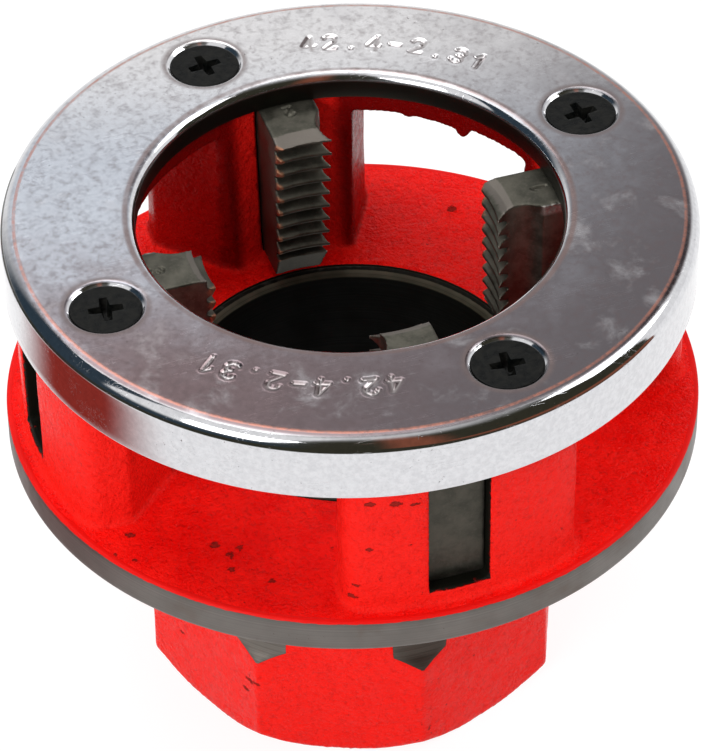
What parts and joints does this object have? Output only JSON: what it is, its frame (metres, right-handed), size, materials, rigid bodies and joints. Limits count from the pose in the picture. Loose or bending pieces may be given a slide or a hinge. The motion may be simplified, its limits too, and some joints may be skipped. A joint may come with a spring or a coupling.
{
  "type": "round threading die",
  "caption": "Round die head for threading pipe: an octagonal boss, a flange, posts holding toothed chasers, and a screwed-on chromed cover plate with a central hole.",
  "frame": {"origin": "centre of the boss's bottom face, on the head's axis", "axes": "+Z along the head's axis from the boss towards the cover plate, +X along the first chaser and +Y along the second"},
  "size_m": [0.0936, 0.0936, 0.0742],
  "materials": {
    "red_paint": "gloss red paint over rough iron casting, with the flange rim and neck corners machined bare",
    "plate_chrome": "worn chrome, mottled and scratched",
    "chaser_steel": "hardened and blackened tool steel, satin",
    "black_screw": "black oxide, slightly oily"
  },
  "bodies": {
    "root": {"body_casting": "red_paint", "cover_plate": "plate_chrome", "chaser_1": "chaser_steel", "chaser_2": "chaser_steel", "chaser_3": "chaser_steel", "chaser_4": "chaser_steel", "cover_screw_1": "black_screw", "cover_screw_2": "black_screw", "cover_screw_3": "black_screw", "cover_screw_4": "black_screw"}
  },
  "joints": []
}
